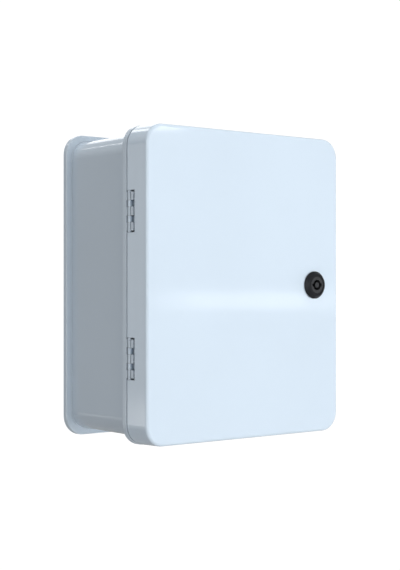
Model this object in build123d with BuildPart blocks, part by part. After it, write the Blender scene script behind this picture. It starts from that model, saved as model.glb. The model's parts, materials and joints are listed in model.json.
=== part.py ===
from build123d import *
import os
from math import radians, tan

os.makedirs("parts", exist_ok=True)

# Wall-mounted plastic enclosure with a deep hinged door.
# Lengths are in millimetres. The origin is the centre of the rear face, which lies on the wall.
# +X is to the right of someone who faces the door, +Y goes into the wall and +Z is up.
# Every depth is the distance in front of the wall.

# Outline of the collar, which the flange and the door are measured from
width = 250.0
height = 300.0
collar_corner = 19.7
flange_setback = 0.9
flange_corner = 20.0

# Base
base_depth = 104.5
flange_thickness = 5.0
flange_edge_round = 1.2
collar_thickness = 6.0
collar_edge_round = 0.8
body_setback = 7.6
body_draft = 0.75
body_corner = 18.0
flange_junction_round = 0.8
wall = 3.5
rear_wall = 4.0
rim_height = 22.0
rim_thickness = 2.2
rim_tip_round = 0.7

# Door
seam = 1.0
door_setback = 0.3
door_depth = 29.4
door_wall = 3.0
door_draft = 1.0
door_front_round = 3.0
door_back_round = 0.5

# Gasket and the rib that keeps it in place
gasket_width = 7.8
gasket_side_gap = 0.35
gasket_rim_gap = 0.3
rib_gap = 0.2
rib_thickness = 2.0
rib_height = 4.0

# Hinges
hinge_spacing = 137.0
hinge_inset = 1.8
hinge_reach = 3.4
knuckle_radius = 2.1
pin_radius = 1.0
pin_clearance = 0.05
pin_end_gap = 0.6
pocket_length = 39.4
pocket_reach = 12.2
pocket_end_slot = 1.75
knuckle_pitch = 14.5
window_height = 6.4
knuckle_gap = 0.25
root_lip = 1.4
tab_start = 7.3
tab_reach = 10.6
tab_setback = 0.1
pocket_overcut = 1.0
bridge_cover = 0.4
arm_thickness = 2.1
arm_clearance = 0.5
arm_joint_length = 3.6
arm_joint_bite = 0.8

# Lock
lock_edge_distance = 34.8
lock_head_radius = 13.8
lock_face_radius = 10.9
lock_head_height = 4.2
lock_head_rim = 0.9
lock_face_round = 0.8
lock_seal_thickness = 0.9
lock_seal_setback = 0.6
barrel_radius = 11.0
barrel_flats = 20.0
barrel_length = 19.7
barrel_clearance = 0.2
nut_flats = 27.0
nut_thickness = 5.0
nut_chamfer = 1.0
lock_washer_radius = 14.6
lock_washer_thickness = 0.8
lock_washer_teeth = 12
tooth_gap_width = 2.0
tooth_gap_depth = 1.6

# Turning core of the lock
core_radius = 8.4
core_face_sink = 0.3
core_shoulder_depth = 5.7
journal_radius = 6.0
core_clearance = 0.05
core_end_play = 0.1
key_outer_radius = 5.3
key_pin_radius = 2.7
key_wing_reach = 6.6
key_wing_width = 3.0
key_recess_depth = 9.0
square_side = 8.0
square_clearance = 0.05
square_shortfall = 0.2
o_ring_section_radius = 0.87
o_ring_groove_width = 2.2
o_ring_groove_depth = 1.8
o_ring_distance = 12.2

# Cam and its fixing
cam_thickness = 3.0
cam_gap = 0.2
cam_pivot_radius = 9.0
cam_tip_radius = 5.5
cam_reach = 23.3
cam_washer_radius = 7.0
cam_washer_thickness = 1.0
spring_washer_radius = 4.6
spring_washer_thickness = 1.2
spring_washer_slit = 0.8
cam_screw_length = 13.0

# Catch for the cam, moulded inside the rim
catch_length = 32.0
catch_thickness = 2.8
catch_overlap = 10.0
catch_cam_gap = 0.4
catch_bite = 1.0
gusset_thickness = 2.5
gusset_length = 5.6
gusset_depth = 7.5

# Screws, shared by the cam and the mounting plate
screw_radius = 2.5
screw_head_radius = 4.6
screw_head_height = 3.2
screw_head_round = 1.2
cross_width = 1.4
cross_length = 5.2
cross_depth = 1.8
thread_clearance = 0.05
washer_clearance = 0.2

# Mounting plate and its fixing
plate_setback = 22.5
plate_thickness = 2.0
plate_corner_cut = 24.0
plate_hole_inset_x = 17.5
plate_hole_inset_z = 22.5
plate_boss_radius = 6.5
plate_boss_height = 12.0
plate_hole_clearance = 0.4
plate_washer_radius = 5.5
plate_washer_thickness = 1.0
plate_screw_length = 11.0
insert_radius = 3.6
insert_length = 9.0
insert_flange_radius = 4.4
insert_flange_thickness = 0.8
insert_clearance = 0.02

# Holes for the screws that go into the wall
wall_hole_inset = 25.0
wall_hole_radius = 3.5
wall_boss_radius = 8.0
wall_boss_height = 5.0

# Places worked out from the sizes above
door_back = base_depth + seam
door_front = door_back + door_depth
door_inner = door_front - door_wall
rim_tip = base_depth + rim_height
gasket_back = rim_tip + gasket_rim_gap
plate_width = width - 2 * plate_setback
plate_height = height - 2 * plate_setback
plate_back = rear_wall + plate_boss_height
plate_front = plate_back + plate_thickness
plate_holes = (plate_width - 2 * plate_hole_inset_x, plate_height - 2 * plate_hole_inset_z)
wall_holes = (width - 2 * wall_hole_inset, height - 2 * wall_hole_inset)

hinge_x = hinge_inset - width / 2
hinge_depth = base_depth + hinge_reach
hinge_heights = (-hinge_spacing / 2, hinge_spacing / 2)

lock_x = width / 2 - lock_edge_distance
lock_axis = Axis((lock_x, 0, 0), (0, 1, 0))
head_back = door_front + lock_seal_thickness
head_front = head_back + lock_head_height
barrel_back = head_back - barrel_length
bore_step = barrel_back + core_shoulder_depth
core_front = head_front - core_face_sink
core_step = bore_step + core_end_play
cam_front = barrel_back - cam_gap
cam_back = cam_front - cam_thickness
cam_washer_back = cam_back - cam_washer_thickness
cam_screw_seat = cam_washer_back - spring_washer_thickness
catch_back = cam_front + catch_cam_gap
catch_front = catch_back + catch_thickness


def at(depth):
    """Plane parallel to the wall at this depth, facing forward."""
    return Plane.XZ.offset(depth)


def edges_at(edges, depth):
    """The edges that lie in the plane at this depth."""
    near = 0.001
    return edges.filter_by_position(Axis.Y, -depth - near, -depth + near)


def cavity_setback(depth):
    """Distance from the outline of the collar to the inside of the base wall."""
    return body_setback - depth * tan(radians(body_draft)) + wall


def door_wall_setback(depth):
    """Distance from the outline of the collar to the inside of the door's side wall."""
    return door_setback + door_wall + (depth - door_back) * tan(radians(door_draft))


def outline(setback, corner):
    """Rounded rectangle that runs inside the outline of the collar."""
    RectangleRounded(width - 2 * setback, height - 2 * setback, corner)


def box_between(low, high):
    """Rectangle between two opposite corners."""
    with Locations(low):
        Rectangle(high[0] - low[0], high[1] - low[1], align=(Align.MIN, Align.MIN))


def lock_ring(outer, inner, back, front):
    """Flat ring about the axis of the lock."""
    with BuildSketch(at(back)) as ring:
        with Locations((lock_x, 0)):
            Circle(outer)
            Circle(inner, mode=Mode.SUBTRACT)
    extrude(ring.sketch, amount=front - back)


def cross_recess(plane):
    """Cross-shaped driver recess, sunk from the plane of the screw head."""
    with BuildSketch(plane) as cross:
        Rectangle(cross_length, cross_width)
        Rectangle(cross_width, cross_length)
    extrude(cross.sketch, amount=-cross_depth, mode=Mode.SUBTRACT)


def hinge_pin(middle):
    """Pin that runs through the knuckles of the hinge at this height."""
    pin_length = pocket_length - 2 * pin_end_gap
    with BuildPart() as pin:
        with BuildSketch(Plane.XY.offset(middle - pin_length / 2)):
            with Locations((hinge_x, -hinge_depth)):
                Circle(pin_radius)
        extrude(amount=pin_length)
    return pin


rim_setback = cavity_setback(rim_tip) - rim_thickness
rim_corner = body_corner - wall + rim_thickness
cavity_corner = body_corner - wall

# Base shell: flange, collar and body
with BuildPart() as base_shell:
    with BuildSketch(at(0)):
        outline(flange_setback, flange_corner)
    extrude(amount=flange_thickness)
    fillet(edges_at(base_shell.edges(), flange_thickness), flange_edge_round)

    with BuildSketch(at(base_depth - collar_thickness)):
        outline(0, collar_corner)
    extrude(amount=collar_thickness)
    collar_edges = edges_at(base_shell.edges(), base_depth)
    collar_edges += edges_at(base_shell.edges(), base_depth - collar_thickness)
    fillet(collar_edges, collar_edge_round)

    body_length = base_depth - collar_thickness - flange_thickness
    with BuildSketch(at(flange_thickness)):
        outline(body_setback - flange_thickness * tan(radians(body_draft)), body_corner)
    extrude(amount=body_length, taper=-body_draft)
    junctions = base_shell.edges(Select.LAST)
    fillet(edges_at(junctions, flange_thickness), flange_junction_round)

    # Sealing rim, which stands inside the door
    with BuildSketch(at(base_depth)):
        outline(rim_setback, rim_corner)
    extrude(amount=rim_height)

    # Cavity, open at the front
    with BuildSketch(at(rear_wall)):
        outline(cavity_setback(rear_wall), cavity_corner)
    extrude(amount=rim_tip - rear_wall, taper=-body_draft, mode=Mode.SUBTRACT)
    fillet(edges_at(base_shell.edges(), rim_tip), rim_tip_round)

    # Bosses for the mounting plate
    with BuildSketch(at(rear_wall)):
        with GridLocations(*plate_holes, 2, 2):
            Circle(plate_boss_radius)
    extrude(amount=plate_boss_height)
    with BuildSketch(at(plate_back)):
        with GridLocations(*plate_holes, 2, 2):
            Circle(insert_radius + insert_clearance)
    extrude(amount=-plate_boss_height, mode=Mode.SUBTRACT)
    with BuildSketch(at(plate_back)):
        with GridLocations(*plate_holes, 2, 2):
            Circle(insert_flange_radius + insert_clearance)
    extrude(amount=-insert_flange_thickness, mode=Mode.SUBTRACT)

    # Bosses and holes for the wall screws
    with BuildSketch(at(rear_wall)):
        with GridLocations(*wall_holes, 2, 2):
            Circle(wall_boss_radius)
    extrude(amount=wall_boss_height)
    with BuildSketch(at(0)):
        with GridLocations(*wall_holes, 2, 2):
            Circle(wall_hole_radius)
    extrude(amount=rear_wall + wall_boss_height, mode=Mode.SUBTRACT)

    # Catch for the cam, with a gusset at each end
    catch_outer = width / 2 - cavity_setback(catch_front) + catch_bite
    catch_inner = lock_x + cam_reach - catch_overlap
    with BuildSketch(at(catch_back)):
        box_between((catch_inner, -catch_length / 2), (catch_outer, catch_length / 2))
    extrude(amount=catch_thickness)
    with BuildSketch(at(catch_front)):
        box_between((catch_outer - gusset_depth, -catch_length / 2),
                    (catch_outer, gusset_thickness - catch_length / 2))
        box_between((catch_outer - gusset_depth, catch_length / 2 - gusset_thickness),
                    (catch_outer, catch_length / 2))
    extrude(amount=gusset_length)

    # Hinge knuckles: three to a hinge, each with a root on the collar and a tab in front
    block_inner = hinge_x + knuckle_radius
    block_half = (knuckle_pitch - window_height) / 2
    end_low = (knuckle_pitch + window_height) / 2
    end_high = pocket_length / 2 - pocket_end_slot
    barrel_high = pocket_length / 2 - knuckle_gap
    rows = ((-block_half, block_half), (end_low, end_high), (-end_high, -end_low))
    barrels = ((-block_half, block_half), (end_low, barrel_high), (-barrel_high, -end_low))
    for middle in hinge_heights:
        for low, high in rows:
            with BuildSketch(Plane.XY.offset(middle + low)):
                box_between((-width / 2, -base_depth - root_lip), (block_inner, -base_depth))
                box_between((hinge_x - bridge_cover, -base_depth - tab_reach),
                            (block_inner, -base_depth))
                box_between((tab_setback - width / 2, -base_depth - tab_reach),
                            (block_inner, -base_depth - tab_start))
            extrude(amount=high - low)
        for low, high in barrels:
            with BuildSketch(Plane.XY.offset(middle + low)):
                with Locations((hinge_x, -hinge_depth)):
                    Circle(knuckle_radius)
            extrude(amount=high - low)
        with BuildSketch(Plane.XY.offset(middle - pocket_length / 2)):
            with Locations((hinge_x, -hinge_depth)):
                Circle(pin_radius + pin_clearance)
        extrude(amount=pocket_length, mode=Mode.SUBTRACT)

# Hinge pins, one in each hinge
hinge_pin_lower = hinge_pin(hinge_heights[0])
hinge_pin_upper = hinge_pin(hinge_heights[1])

# Door
with BuildPart() as door:
    with BuildSketch(at(door_back)):
        outline(door_setback, collar_corner)
    extrude(amount=door_depth, taper=door_draft)
    fillet(edges_at(door.edges(), door_front), door_front_round)
    fillet(edges_at(door.edges(), door_back), door_back_round)
    with BuildSketch(at(door_back)):
        outline(door_wall_setback(door_back), collar_corner - door_wall)
    extrude(amount=door_depth - door_wall, taper=door_draft, mode=Mode.SUBTRACT)

    # Rib that keeps the gasket in place
    gasket_setback = door_wall_setback(door_inner) + gasket_side_gap
    gasket_corner = collar_corner - door_wall - gasket_side_gap
    rib_setback = gasket_setback + gasket_width + rib_gap
    rib_corner = gasket_corner - gasket_width - rib_gap
    with BuildSketch(at(door_inner)):
        outline(rib_setback, rib_corner)
        RectangleRounded(width - 2 * (rib_setback + rib_thickness),
                         height - 2 * (rib_setback + rib_thickness),
                         rib_corner - rib_thickness, mode=Mode.SUBTRACT)
    extrude(amount=-rib_height)

    # Hole for the lock, with two flats that keep it from turning
    with BuildSketch(at(door_inner)):
        with Locations((lock_x, 0)):
            Circle(barrel_radius + barrel_clearance)
            Rectangle(2 * (barrel_radius + barrel_clearance),
                      barrel_flats + 2 * barrel_clearance, mode=Mode.INTERSECT)
    extrude(amount=door_wall, mode=Mode.SUBTRACT)

    # Hinge pockets in the left side, each with two knuckles on arms
    wall_inner = door_wall_setback(door_back) - width / 2
    arm_inner = rim_setback - width / 2 - arm_clearance
    arm_outer = arm_inner - arm_thickness
    arm_end = base_depth + pocket_reach + arm_joint_length
    for middle in hinge_heights:
        with BuildSketch(Plane.XY.offset(middle - pocket_length / 2)):
            box_between((-width / 2 - pocket_overcut, -base_depth - pocket_reach),
                        (arm_outer, -base_depth))
        extrude(amount=pocket_length, mode=Mode.SUBTRACT)
        for side in (-1, 1):
            knuckle_height = window_height - 2 * knuckle_gap
            with BuildSketch(Plane.XY.offset(middle + side * knuckle_pitch / 2 - knuckle_height / 2)):
                with Locations((hinge_x, -hinge_depth)):
                    Circle(knuckle_radius)
                box_between((hinge_x, -hinge_depth - knuckle_radius / 2),
                            (arm_inner, -hinge_depth + knuckle_radius / 2))
                box_between((arm_outer, -arm_end), (arm_inner, -hinge_depth + knuckle_radius / 2))
                box_between((wall_inner - arm_joint_bite, -arm_end),
                            (arm_inner, -base_depth - pocket_reach))
                with Locations((hinge_x, -hinge_depth)):
                    Circle(pin_radius + pin_clearance, mode=Mode.SUBTRACT)
            extrude(amount=knuckle_height)

# Gasket, on the inside of the door where the rim meets it
with BuildPart() as door_gasket:
    with BuildSketch(at(gasket_back)):
        outline(gasket_setback, gasket_corner)
        RectangleRounded(width - 2 * (gasket_setback + gasket_width),
                         height - 2 * (gasket_setback + gasket_width),
                         gasket_corner - gasket_width, mode=Mode.SUBTRACT)
    extrude(amount=door_inner - gasket_back)

# Lock housing: head, barrel with two flats and a stepped bore
with BuildPart() as lock_housing:
    with BuildSketch(at(head_back)):
        with Locations((lock_x, 0)):
            Circle(lock_head_radius)
    extrude(amount=lock_head_rim)
    with BuildSketch(at(head_back + lock_head_rim)):
        with Locations((lock_x, 0)):
            Circle(lock_head_radius)
    with BuildSketch(at(head_front)):
        with Locations((lock_x, 0)):
            Circle(lock_face_radius)
    loft()
    fillet(edges_at(lock_housing.edges(), head_front), lock_face_round)
    with BuildSketch(at(head_back)):
        with Locations((lock_x, 0)):
            Circle(barrel_radius)
            Rectangle(2 * barrel_radius, barrel_flats, mode=Mode.INTERSECT)
    extrude(amount=-barrel_length)
    with BuildSketch(at(barrel_back)):
        with Locations((lock_x, 0)):
            Circle(journal_radius + core_clearance)
    extrude(amount=core_shoulder_depth, mode=Mode.SUBTRACT)
    with BuildSketch(at(bore_step)):
        with Locations((lock_x, 0)):
            Circle(core_radius + core_clearance)
    extrude(amount=head_front - bore_step, mode=Mode.SUBTRACT)

# Flat rubber seal under the head
with BuildPart() as lock_seal:
    lock_ring(lock_head_radius - lock_seal_setback, barrel_radius + barrel_clearance,
              door_front, head_back)

# Toothed washer and nut on the inside of the door
washer_back = door_inner - lock_washer_thickness
with BuildPart() as lock_washer:
    lock_ring(lock_washer_radius, barrel_radius + barrel_clearance, washer_back, door_inner)
    with BuildSketch(at(washer_back)):
        with Locations((lock_x, 0)):
            with PolarLocations(lock_washer_radius, lock_washer_teeth):
                Rectangle(2 * tooth_gap_depth, tooth_gap_width)
    extrude(amount=lock_washer_thickness, mode=Mode.SUBTRACT)

nut_back = washer_back - nut_thickness
with BuildPart() as lock_nut:
    with BuildSketch(at(nut_back)):
        with Locations((lock_x, 0)):
            RegularPolygon(nut_flats / 2, 6, major_radius=False)
    extrude(amount=nut_thickness)
    chamfer(edges_at(lock_nut.edges(), nut_back), nut_chamfer)
    with BuildSketch(at(nut_back)):
        with Locations((lock_x, 0)):
            Circle(barrel_radius + thread_clearance)
    extrude(amount=nut_thickness, mode=Mode.SUBTRACT)

# Turning core: head with the key recess, groove for the O-ring, journal and square end
groove_front = core_front - o_ring_distance + o_ring_groove_width / 2
with BuildPart() as lock_core:
    lock_ring(core_radius, core_radius - o_ring_groove_depth, core_step, core_front)
    with BuildSketch(at(core_step)):
        with Locations((lock_x, 0)):
            Circle(core_radius - o_ring_groove_depth)
    extrude(amount=core_front - core_step)
    with BuildSketch(at(groove_front)):
        with Locations((lock_x, 0)):
            Circle(core_radius)
            Circle(core_radius - o_ring_groove_depth, mode=Mode.SUBTRACT)
    extrude(amount=-o_ring_groove_width, mode=Mode.SUBTRACT)
    with BuildSketch(at(core_front)):
        with Locations((lock_x, 0)):
            Circle(key_outer_radius)
            Rectangle(2 * key_wing_reach, key_wing_width)
            Circle(key_pin_radius, mode=Mode.SUBTRACT)
    extrude(amount=-key_recess_depth, mode=Mode.SUBTRACT)
    with BuildSketch(at(cam_front)):
        with Locations((lock_x, 0)):
            Circle(journal_radius)
    extrude(amount=core_step - cam_front)
    with BuildSketch(at(cam_back + square_shortfall)):
        with Locations((lock_x, 0)):
            Rectangle(square_side, square_side)
    extrude(amount=cam_thickness - square_shortfall)
    with BuildSketch(at(cam_back + square_shortfall)):
        with Locations((lock_x, 0)):
            Circle(screw_radius + thread_clearance)
    extrude(amount=cam_screw_length, mode=Mode.SUBTRACT)

# O-ring in the groove of the core
with BuildPart() as core_o_ring:
    ring_middle = core_radius - o_ring_groove_depth / 2
    with BuildSketch(Plane.XY):
        with Locations((lock_x + ring_middle, -(groove_front - o_ring_groove_width / 2))):
            Circle(o_ring_section_radius)
    revolve(axis=lock_axis)

# Cam: a flat lever on the square end, pointing up while the door is unlocked
with BuildPart() as lock_cam:
    with BuildSketch(at(cam_back)):
        with Locations((lock_x, 0)):
            Circle(cam_pivot_radius)
        with Locations((lock_x, cam_reach - cam_tip_radius)):
            Circle(cam_tip_radius)
        make_hull()
        with Locations((lock_x, 0)):
            Rectangle(square_side + 2 * square_clearance, square_side + 2 * square_clearance,
                      mode=Mode.SUBTRACT)
    extrude(amount=cam_thickness)

# Washers and screw that hold the cam
with BuildPart() as cam_washer:
    lock_ring(cam_washer_radius, screw_radius + washer_clearance, cam_washer_back, cam_back)

with BuildPart() as cam_spring_washer:
    lock_ring(spring_washer_radius, screw_radius + washer_clearance,
              cam_screw_seat, cam_washer_back)
    with BuildSketch(at(cam_screw_seat)):
        with Locations((lock_x, -spring_washer_radius)):
            Rectangle(spring_washer_slit, 2 * spring_washer_radius)
    extrude(amount=spring_washer_thickness, mode=Mode.SUBTRACT)

with BuildPart() as cam_screw:
    with BuildSketch(at(cam_screw_seat)):
        with Locations((lock_x, 0)):
            Circle(screw_head_radius)
    extrude(amount=-screw_head_height)
    fillet(edges_at(cam_screw.edges(), cam_screw_seat - screw_head_height), screw_head_round)
    with BuildSketch(at(cam_screw_seat)):
        with Locations((lock_x, 0)):
            Circle(screw_radius)
    extrude(amount=cam_screw_length)
    cross_recess(Plane((lock_x, -(cam_screw_seat - screw_head_height), 0), (1, 0, 0), (0, 1, 0)))

# Mounting plate with cut corners, which leave the wall screws free
with BuildPart() as mounting_plate:
    with BuildSketch(at(plate_back)) as plate_outline:
        Rectangle(plate_width, plate_height)
        chamfer(plate_outline.vertices(), plate_corner_cut)
        with GridLocations(*plate_holes, 2, 2):
            Circle(screw_radius + plate_hole_clearance, mode=Mode.SUBTRACT)
    extrude(amount=plate_thickness)

# Brass inserts in the bosses, flush with their tops
with BuildPart() as plate_inserts:
    with BuildSketch(at(plate_back - insert_length)):
        with GridLocations(*plate_holes, 2, 2):
            Circle(insert_radius)
            Circle(screw_radius + thread_clearance, mode=Mode.SUBTRACT)
    extrude(amount=insert_length - insert_flange_thickness)
    with BuildSketch(at(plate_back - insert_flange_thickness)):
        with GridLocations(*plate_holes, 2, 2):
            Circle(insert_flange_radius)
            Circle(screw_radius + thread_clearance, mode=Mode.SUBTRACT)
    extrude(amount=insert_flange_thickness)

# Washers and screws of the plate
with BuildPart() as plate_washers:
    with BuildSketch(at(plate_front)):
        with GridLocations(*plate_holes, 2, 2):
            Circle(plate_washer_radius)
            Circle(screw_radius + washer_clearance, mode=Mode.SUBTRACT)
    extrude(amount=plate_washer_thickness)

head_seat = plate_front + plate_washer_thickness
head_top = head_seat + screw_head_height
with BuildPart() as plate_screws:
    with BuildSketch(at(head_seat)):
        with GridLocations(*plate_holes, 2, 2):
            Circle(screw_head_radius)
    extrude(amount=screw_head_height)
    fillet(edges_at(plate_screws.edges(), head_top), screw_head_round)
    with BuildSketch(at(head_seat)):
        with GridLocations(*plate_holes, 2, 2):
            Circle(screw_radius)
    extrude(amount=-plate_screw_length)
    for x in (-plate_holes[0] / 2, plate_holes[0] / 2):
        for z in (-plate_holes[1] / 2, plate_holes[1] / 2):
            cross_recess(Plane((x, -head_top, z), (1, 0, 0), (0, -1, 0)))

pieces = {
    "base_shell": base_shell,
    "door": door,
    "door_gasket": door_gasket,
    "hinge_pin_lower": hinge_pin_lower,
    "hinge_pin_upper": hinge_pin_upper,
    "lock_housing": lock_housing,
    "lock_seal": lock_seal,
    "lock_washer": lock_washer,
    "lock_nut": lock_nut,
    "lock_core": lock_core,
    "core_o_ring": core_o_ring,
    "lock_cam": lock_cam,
    "cam_washer": cam_washer,
    "cam_spring_washer": cam_spring_washer,
    "cam_screw": cam_screw,
    "mounting_plate": mounting_plate,
    "plate_inserts": plate_inserts,
    "plate_washers": plate_washers,
    "plate_screws": plate_screws,
}
for name, piece in pieces.items():
    piece.part.label = name
    export_step(piece.part, f"parts/{name}.step")
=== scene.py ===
import json
import math

import bpy
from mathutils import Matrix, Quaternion, Vector


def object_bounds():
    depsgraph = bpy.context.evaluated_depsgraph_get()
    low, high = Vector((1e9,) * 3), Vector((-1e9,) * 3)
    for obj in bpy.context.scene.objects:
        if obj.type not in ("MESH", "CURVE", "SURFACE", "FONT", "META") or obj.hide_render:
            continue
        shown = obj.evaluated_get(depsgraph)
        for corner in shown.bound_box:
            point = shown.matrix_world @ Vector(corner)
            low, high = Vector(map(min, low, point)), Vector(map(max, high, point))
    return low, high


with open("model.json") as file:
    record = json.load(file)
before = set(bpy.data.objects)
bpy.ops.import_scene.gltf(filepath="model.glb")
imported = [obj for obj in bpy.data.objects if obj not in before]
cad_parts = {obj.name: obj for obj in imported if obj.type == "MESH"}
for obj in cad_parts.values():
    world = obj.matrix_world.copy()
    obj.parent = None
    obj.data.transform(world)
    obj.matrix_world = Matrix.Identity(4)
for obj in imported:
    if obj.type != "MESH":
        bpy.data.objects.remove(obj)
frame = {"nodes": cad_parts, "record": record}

cad_low, cad_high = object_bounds()
nodes = frame["nodes"]

# Camera, placed as the photograph was taken: to the left of the door, level with its middle. The
# sensor's millimetres are over the image's height, its longer side.
IMAGE_HEIGHT = 570
FOCAL_PIXELS = 1328.6
SENSOR = 36.0
YAW = math.radians(40.006)
CAMERA_PLACE = (-0.8669, -1.0953, 0.0)
CLIP_START = 0.01
CLIP_END = 100.0

# Room: the floor, the world's light, and the white that the camera and the reflections see
FLOOR_DROP = 0.75
FLOOR_SIZE = 16.0
FLOOR_GREY = 0.55
FLOOR_ROUGHNESS = 0.9
AMBIENT = 0.4
BACKDROP_WHITE = 1.05
REFLECTED_WHITE = 0.3

# Softboxes, turned to the box: name, place, width and height, power in watts
SOFTBOXES = (
    ("front_softbox", (1.0, -5.0, 0.3), (3.0, 3.0), 108),
    ("left_softbox", (-1.6, -4.2, 0.0), (2.0, 3.0), 16),
    ("right_softbox", (4.5, -1.1, -0.5), (1.5, 1.5), 60),
    ("top_softbox", (-0.4, 0.2, 2.4), (2.0, 2.0), 27),
    ("low_softbox", (0.2, -3.2, -0.6), (2.0, 0.5), 17),
)

# Glowing cards, which show in reflections only: name, the spot on the box that they are seen from,
# azimuth from +Y to +X, elevation, width and height as seen from there, tilt, strength, and the
# part of the card inside its soft edge. Angles are in degrees.
CARD_DISTANCE = 3.0
CARDS = (
    ("window_card", (-0.11, -0.05, 0.14), 27, 23, 30, 21, -25, 1.8, 0.9),
    ("stripe_card", (-0.12, -0.12, 0.145), 2, 39.4, 16, 4, 0, 3.4, 0.6),
    ("line_card", (-0.11, -0.05, 0.14), -13, 33.5, 3, 6, 0, 4.7, 0.6),
    ("side_card", (-0.125, -0.11, 0), -48, 0, 24, 20, 0, 1.2, 0.9),
    ("side_low_card", (-0.125, -0.12, -0.12), -48, -6.8, 24, 6, 0, 5.0, 0.3),
    ("side_high_card", (-0.12, -0.12, 0.14), -38, 26, 34, 28, 0, 0.65, 0.3),
    ("side_bottom_card", (-0.12, -0.12, -0.13), -38, -22, 30, 20, 0, 1.4, 0.9),
    ("edge_card", (-0.12, -0.13, 0), 232, 0, 40, 60, 0, 3.2, 0.6),
    ("band_card", (0.003, -0.135, -0.013), 137.8, -0.7, 13, 1.5, 0, 2.5, 0.3),
    ("glow_card", (0.04, -0.135, -0.013), 136, -0.7, 26, 1.8, 0, 1.0, 0.4),
    ("corner_card", (-0.1, -0.135, 0.145), 141.5, 7.95, 2.2, 2.7, 0, 6.5, 0.92),
)

# Plastics: their colours, and the painted shade that darkens them in each corner and narrow gap by
# the free room within CORNER_REACH of a point: the share of it at which they are darkest, the share
# from which nothing is darker, and the darkest factor
DOOR_COLOUR = (0.70, 0.815, 0.93)
SHELL_COLOUR = (0.64, 0.735, 0.83)
LOCK_COLOUR = (0.017, 0.018, 0.021)
CORE_COLOUR = (0.046, 0.048, 0.052)
PLASTIC_IOR = 1.5
CORNER_REACH = 0.005
# Painted shade for each plastic: where the base colour is darkened in each corner and gap
SHELL_PAINTED_SHADE = (0.45, 0.75, 0.7)
DOOR_PAINTED_SHADE = (0.15, 0.6, 0.5)
LOCK_PAINTED_SHADE = (0.15, 0.6, 0.3)

# Where a colour ramp has its first colour and its second, on values from 0 to 1
RAMP_FIRST = 0.3
RAMP_SECOND = 0.7


def principled(name):
    """New material with nodes: the material, its tree and its main shader."""
    material = bpy.data.materials.new(name)
    material.use_nodes = True
    tree = material.node_tree
    return material, tree, tree.nodes["Principled BSDF"]


def add(tree, kind, **inputs):
    """New node of a kind, with its input values set by name."""
    node = tree.nodes.new(kind)
    for key, value in inputs.items():
        node.inputs[key.replace("_", " ")].default_value = value
    return node


def surface_point(tree):
    """Coordinates that are fixed to the piece, in metres."""
    return tree.nodes.new("ShaderNodeTexCoord").outputs["Object"]


def noise(tree, scale, detail=3.0):
    """Noise texture over the piece, as a value from 0 to 1."""
    texture = add(tree, "ShaderNodeTexNoise", Scale=scale, Detail=detail)
    tree.links.new(surface_point(tree), texture.inputs["Vector"])
    return texture.outputs["Fac"]


def spread(tree, value, low, high):
    """The value from 0 to 1 taken to the range from low to high."""
    node = add(tree, "ShaderNodeMapRange", To_Min=low, To_Max=high)
    tree.links.new(value, node.inputs["Value"])
    return node.outputs["Result"]


def two_colours(tree, value, first, second):
    """Colour between the first and the second, by the value."""
    ramp = tree.nodes.new("ShaderNodeValToRGB")
    ramp.color_ramp.elements[0].position = RAMP_FIRST
    ramp.color_ramp.elements[1].position = RAMP_SECOND
    ramp.color_ramp.elements[0].color = (*first, 1)
    ramp.color_ramp.elements[1].color = (*second, 1)
    tree.links.new(value, ramp.inputs["Fac"])
    return ramp.outputs["Color"]


def bump(tree, shader, height, strength, distance):
    """Relief on the shader's normal from a height."""
    node = add(tree, "ShaderNodeBump", Strength=strength, Distance=distance)
    tree.links.new(height, node.inputs["Height"])
    tree.links.new(node.outputs["Normal"], shader.inputs["Normal"])


def shade(colour, factor):
    """The colour made darker or lighter."""
    return tuple(min(1.0, c * factor) for c in colour)


def paint_corner_shade(tree, colours, closed, clear, darkest):
    """The colours with painted shade, darker in each corner and narrow gap."""
    # Painted shade: an ambient occlusion node darkens the colour itself in each corner and gap
    room = add(tree, "ShaderNodeAmbientOcclusion", Distance=CORNER_REACH)
    factor = add(tree, "ShaderNodeMapRange", From_Min=closed, From_Max=clear, To_Min=darkest)
    tree.links.new(room.outputs["AO"], factor.inputs["Value"])
    product = tree.nodes.new("ShaderNodeVectorMath")
    product.operation = "SCALE"
    tree.links.new(colours, product.inputs[0])
    tree.links.new(factor.outputs["Result"], product.inputs["Scale"])
    return product.outputs["Vector"]


def moulded_plastic(name, colour, roughness, grain, corner_shade, variation=0.012, specular=0.5):
    """Moulded plastic: faint cloudiness in its colour, painted shade in each corner and gap, and a
    fine grain in its gloss.
    """
    material, tree, shader = principled(name)
    cloud = noise(tree, scale=9.0, detail=2.0)
    colours = two_colours(tree, cloud, shade(colour, 1 - variation), shade(colour, 1 + variation))
    # The base colour carries painted shade, darker in each corner and gap
    tree.links.new(paint_corner_shade(tree, colours, *corner_shade), shader.inputs["Base Color"])
    fine = noise(tree, scale=2600.0, detail=2.0)
    tree.links.new(spread(tree, fine, roughness * 0.9, roughness * 1.1), shader.inputs["Roughness"])
    bump(tree, shader, fine, strength=grain, distance=0.00002)
    shader.inputs["IOR"].default_value = PLASTIC_IOR
    shader.inputs["Specular IOR Level"].default_value = specular
    return material


def rubber(name, colour, cell_scale, relief):
    """Rubber or foamed rubber with small cells in its skin."""
    material, tree, shader = principled(name)
    cells = add(tree, "ShaderNodeTexVoronoi", Scale=cell_scale)
    tree.links.new(surface_point(tree), cells.inputs["Vector"])
    colours = two_colours(tree, cells.outputs["Distance"], shade(colour, 0.8), shade(colour, 1.3))
    tree.links.new(colours, shader.inputs["Base Color"])
    gloss = spread(tree, noise(tree, scale=400.0), low=0.7, high=0.9)
    tree.links.new(gloss, shader.inputs["Roughness"])
    bump(tree, shader, cells.outputs["Distance"], strength=relief, distance=0.0002)
    return material


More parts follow.
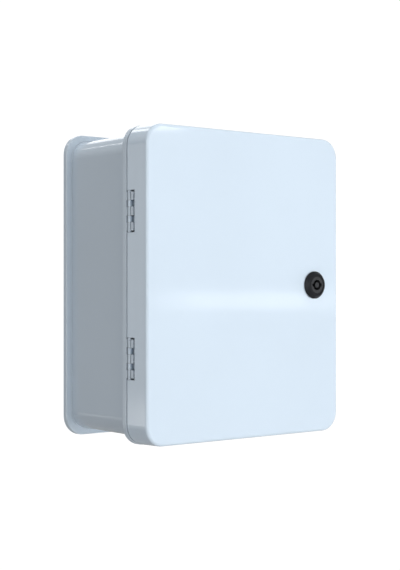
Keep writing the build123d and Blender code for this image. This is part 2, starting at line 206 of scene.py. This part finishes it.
def plated_metal(name, colour, roughness):
    """Plated or drawn metal with fine unevenness in colour and gloss."""
    material, tree, shader = principled(name)
    cloud = noise(tree, scale=140.0)
    colours = two_colours(tree, cloud, shade(colour, 0.9), shade(colour, 1.06))
    tree.links.new(colours, shader.inputs["Base Color"])
    fine = noise(tree, scale=2100.0)
    tree.links.new(spread(tree, fine, roughness * 0.75, roughness * 1.25), shader.inputs["Roughness"])
    bump(tree, shader, fine, strength=0.15, distance=0.00003)
    shader.inputs["Metallic"].default_value = 1.0
    return material


def galvanised_sheet(name, colour):
    """Galvanised steel with the spangle of its zinc crystals."""
    material, tree, shader = principled(name)
    crystals = add(tree, "ShaderNodeTexVoronoi", Scale=330.0)
    tree.links.new(surface_point(tree), crystals.inputs["Vector"])
    split = tree.nodes.new("ShaderNodeSeparateColor")
    tree.links.new(crystals.outputs["Color"], split.inputs["Color"])
    colours = two_colours(tree, split.outputs["Red"], shade(colour, 0.95), shade(colour, 1.04))
    tree.links.new(colours, shader.inputs["Base Color"])
    gloss = spread(tree, split.outputs["Green"], low=0.36, high=0.46)
    tree.links.new(gloss, shader.inputs["Roughness"])
    bump(tree, shader, noise(tree, scale=900.0), strength=0.1, distance=0.00003)
    shader.inputs["Metallic"].default_value = 0.8
    return material


MATERIALS = {
    "shell_plastic": moulded_plastic("shell_plastic", SHELL_COLOUR, roughness=0.1, grain=0.05,
                                     corner_shade=SHELL_PAINTED_SHADE),
    "door_plastic": moulded_plastic("door_plastic", DOOR_COLOUR, roughness=0.045, grain=0.03,
                                    corner_shade=DOOR_PAINTED_SHADE),
    "gasket_rubber": rubber("gasket_rubber", (0.03, 0.03, 0.032), cell_scale=1400.0, relief=0.5),
    "seal_rubber": rubber("seal_rubber", (0.02, 0.02, 0.02), cell_scale=3000.0, relief=0.1),
    "pin_steel": plated_metal("pin_steel", (0.62, 0.63, 0.64), roughness=0.25),
    "lock_black": moulded_plastic("lock_black", LOCK_COLOUR, roughness=0.45, grain=0.25,
                                  corner_shade=LOCK_PAINTED_SHADE, variation=0.1, specular=0.2),
    "core_black": moulded_plastic("core_black", CORE_COLOUR, roughness=0.35, grain=0.3,
                                  corner_shade=LOCK_PAINTED_SHADE, variation=0.1, specular=0.3),
    "zinc_steel": plated_metal("zinc_steel", (0.66, 0.68, 0.7), roughness=0.32),
    "cam_steel": plated_metal("cam_steel", (0.64, 0.66, 0.69), roughness=0.36),
    "screw_steel": plated_metal("screw_steel", (0.6, 0.61, 0.62), roughness=0.28),
    "plate_steel": galvanised_sheet("plate_steel", (0.6, 0.62, 0.64)),
    "insert_brass": plated_metal("insert_brass", (0.72, 0.52, 0.24), roughness=0.3),
}


def dress_frame():
    """Gives each CAD node the material of its slot in the record."""
    for row in frame["record"]["subparts"]:
        piece = nodes[row["node"]]
        piece.data.materials.clear()
        piece.data.materials.append(MATERIALS[row["material_slot"]])


def white_for(tree, ray, shader_output, strength):
    """Plain white for one kind of ray, the given shader for all others."""
    path = tree.nodes.new("ShaderNodeLightPath")
    white = add(tree, "ShaderNodeEmission", Strength=strength)
    mix = tree.nodes.new("ShaderNodeMixShader")
    tree.links.new(path.outputs[ray], mix.inputs[0])
    tree.links.new(shader_output, mix.inputs[1])
    tree.links.new(white.outputs["Emission"], mix.inputs[2])
    return mix.outputs["Shader"]


def make_room():
    """Pale floor well below the box, which hangs on a wall in use, and white surroundings."""
    bpy.ops.mesh.primitive_plane_add(size=FLOOR_SIZE, location=(0, 0, cad_low.z - FLOOR_DROP))
    floor = bpy.context.object
    floor.name = "floor"
    material, tree, shader = principled("floor_white")
    shader.inputs["Base Color"].default_value = (FLOOR_GREY, FLOOR_GREY, FLOOR_GREY, 1)
    shader.inputs["Roughness"].default_value = FLOOR_ROUGHNESS
    tree.links.new(white_for(tree, "Is Camera Ray", shader.outputs["BSDF"], BACKDROP_WHITE),
                   tree.nodes["Material Output"].inputs["Surface"])
    floor.data.materials.append(material)

    world = bpy.data.worlds.new("studio")
    bpy.context.scene.world = world
    world.use_nodes = True
    tree = world.node_tree
    background = tree.nodes["Background"]
    background.inputs["Color"].default_value = (1, 1, 1, 1)
    background.inputs["Strength"].default_value = AMBIENT
    reflected = white_for(tree, "Is Glossy Ray", background.outputs["Background"], REFLECTED_WHITE)
    tree.links.new(white_for(tree, "Is Camera Ray", reflected, BACKDROP_WHITE),
                   tree.nodes["World Output"].inputs["Surface"])


def softbox(name, place, size, power):
    """White area light at a place, turned to the box."""
    data = bpy.data.lights.new(name, "AREA")
    data.shape = "RECTANGLE"
    data.size, data.size_y = size
    data.energy = power
    lamp = bpy.data.objects.new(name, data)
    lamp.visible_glossy = False
    bpy.context.scene.collection.objects.link(lamp)
    lamp.location = place
    lamp.rotation_mode = "QUATERNION"
    lamp.rotation_quaternion = (-Vector(place)).to_track_quat("-Z", "Y")


def soft_edge(tree, coordinate, inner):
    """1 in the middle of a card, falling to 0 at its two edges along one direction.

    The card's own coordinates run from -0.5 to 0.5.
    """
    distance = tree.nodes.new("ShaderNodeMath")
    distance.operation = "ABSOLUTE"
    tree.links.new(coordinate, distance.inputs[0])
    fall = add(tree, "ShaderNodeMapRange", From_Min=0.5, From_Max=0.5 * inner)
    fall.interpolation_type = "SMOOTHSTEP"
    tree.links.new(distance.outputs["Value"], fall.inputs["Value"])
    return fall.outputs["Result"]


def card(name, spot, azimuth, elevation, width, height, tilt, strength, inner):
    """Glowing card that shows in reflections only, in a direction from a spot on the box."""
    bpy.ops.mesh.primitive_plane_add(size=1.0)
    plane = bpy.context.object
    plane.name = name
    azimuth, elevation = math.radians(azimuth), math.radians(elevation)
    direction = Vector((math.sin(azimuth) * math.cos(elevation),
                        math.cos(azimuth) * math.cos(elevation), math.sin(elevation)))
    plane.location = Vector(spot) + CARD_DISTANCE * direction
    plane.rotation_mode = "QUATERNION"
    turn = Quaternion((0, 0, 1), math.radians(tilt))
    plane.rotation_quaternion = direction.to_track_quat("-Z", "Y") @ turn
    plane.scale = (2 * CARD_DISTANCE * math.tan(math.radians(width / 2)),
                   2 * CARD_DISTANCE * math.tan(math.radians(height / 2)), 1)
    material, tree, shader = principled(name)
    split = tree.nodes.new("ShaderNodeSeparateXYZ")
    tree.links.new(tree.nodes.new("ShaderNodeTexCoord").outputs["Object"], split.inputs["Vector"])
    product = tree.nodes.new("ShaderNodeMath")
    product.operation = "MULTIPLY"
    tree.links.new(soft_edge(tree, split.outputs["X"], inner), product.inputs[0])
    tree.links.new(soft_edge(tree, split.outputs["Y"], inner), product.inputs[1])
    clear = tree.nodes.new("ShaderNodeBsdfTransparent")
    glow = add(tree, "ShaderNodeEmission", Strength=strength)
    mix = tree.nodes.new("ShaderNodeMixShader")
    tree.links.new(product.outputs["Value"], mix.inputs[0])
    tree.links.new(clear.outputs["BSDF"], mix.inputs[1])
    tree.links.new(glow.outputs["Emission"], mix.inputs[2])
    tree.links.new(mix.outputs["Shader"], tree.nodes["Material Output"].inputs["Surface"])
    plane.data.materials.append(material)
    plane.visible_camera = False
    plane.visible_diffuse = False
    plane.visible_shadow = False


def make_lights():
    """Soft light on the box, and cards that draw the highlights on its glossy plastic."""
    for row in SOFTBOXES:
        softbox(*row)
    for row in CARDS:
        card(*row)


def make_camera():
    """Camera at the photograph's viewing angle."""
    data = bpy.data.cameras.new("camera")
    data.sensor_width = SENSOR
    data.lens = FOCAL_PIXELS / IMAGE_HEIGHT * SENSOR
    data.clip_start = CLIP_START
    data.clip_end = CLIP_END
    camera = bpy.data.objects.new("camera", data)
    bpy.context.scene.collection.objects.link(camera)
    camera.location = CAMERA_PLACE
    camera.rotation_mode = "QUATERNION"
    forward = Vector((math.sin(YAW), math.cos(YAW), 0))
    camera.rotation_quaternion = forward.to_track_quat("-Z", "Y")
    bpy.context.scene.camera = camera


# Standard view, so that the surroundings are as white as the photograph's
bpy.context.scene.view_settings.view_transform = "Standard"
dress_frame()
make_room()
make_lights()
make_camera()
